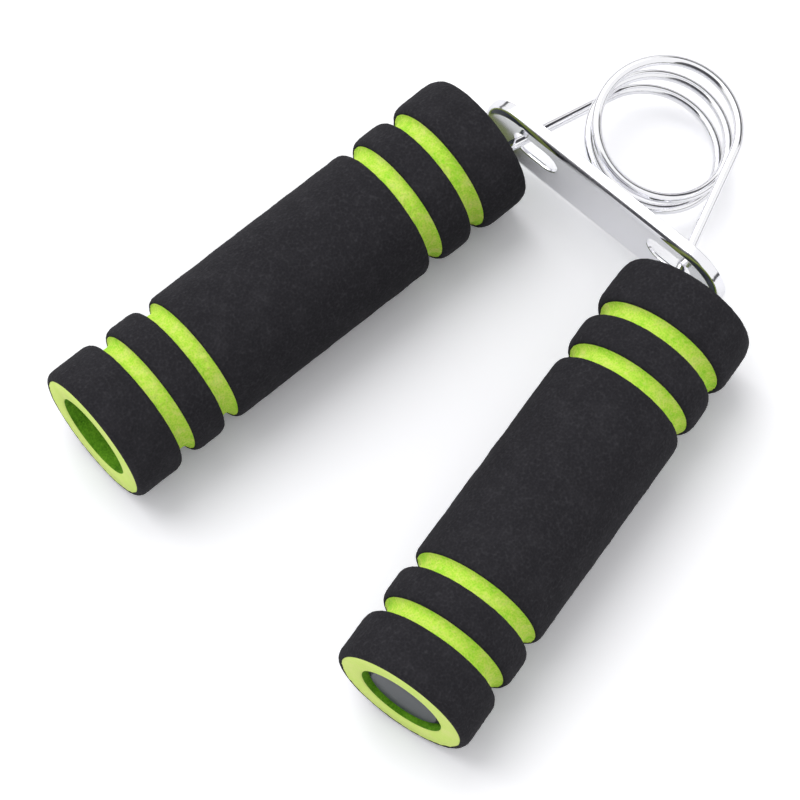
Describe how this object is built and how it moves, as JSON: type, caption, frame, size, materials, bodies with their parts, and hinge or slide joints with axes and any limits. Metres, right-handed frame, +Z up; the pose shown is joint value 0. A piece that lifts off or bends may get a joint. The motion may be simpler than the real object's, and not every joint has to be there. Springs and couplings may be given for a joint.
{
  "type": "hand grip strengthener",
  "caption": "Coil-spring hand grip: foam grips with grooved bands on the legs of a bright wire spring, with a slotted stay plate between grips and coil.",
  "frame": {"origin": "below the middle of the whole outline, on the plane that both grips lie on", "axes": "+Z up from the plane that the grips lie on, +Y from the grips to the coil, +X towards the right grip; x = 0 halves the gap between the grips"},
  "size_m": [0.1214, 0.1567, 0.033],
  "materials": {
    "black_foam": "matt closed-cell foam, fine grained",
    "green_foam": "matt ground foam, yellow-green",
    "bright_wire": "bright chromed spring wire",
    "bright_sheet": "bright chromed pressed sheet",
    "grey_plastic": "smooth dark grey moulding",
    "core_plastic": "plain tube, hidden in the foam"
  },
  "bodies": {
    "spring_and_plate": {"spring_coil": "bright_wire", "stay_plate": "bright_sheet"},
    "right_arm": {"right_leg": "bright_wire", "right_core_tube": "core_plastic", "right_top_bush": "grey_plastic", "right_end_plug": "grey_plastic", "right_foam_sleeve": "green_foam", "right_top_band": "black_foam", "right_top_ring": "black_foam", "right_barrel_band": "black_foam", "right_low_ring": "black_foam", "right_low_band": "black_foam"},
    "left_arm": {"left_leg": "bright_wire", "left_core_tube": "core_plastic", "left_top_bush": "grey_plastic", "left_end_plug": "grey_plastic", "left_foam_sleeve": "green_foam", "left_top_band": "black_foam", "left_top_ring": "black_foam", "left_barrel_band": "black_foam", "left_low_ring": "black_foam", "left_low_band": "black_foam"}
  },
  "joints": [
    {"name": "right_squeeze", "type": "hinge", "parent": "spring_and_plate", "child": "right_arm", "pos_m": [0, 0.06069, 0.0165], "axis": [0, 0, 1], "range_deg": [-11.3, 0], "stiffness_Nm_per_rad": 2.6, "deforming": ["spring_coil"]},
    {"name": "left_squeeze", "type": "hinge", "parent": "spring_and_plate", "child": "left_arm", "pos_m": [0, 0.06069, 0.0165], "axis": [0, 0, 1], "range_deg": [0, 11.3], "stiffness_Nm_per_rad": 2.6, "deforming": ["spring_coil"]}
  ],
  "couplings": [
    {"joint": "left_squeeze", "follows": "right_squeeze", "ratio": -1}
  ]
}
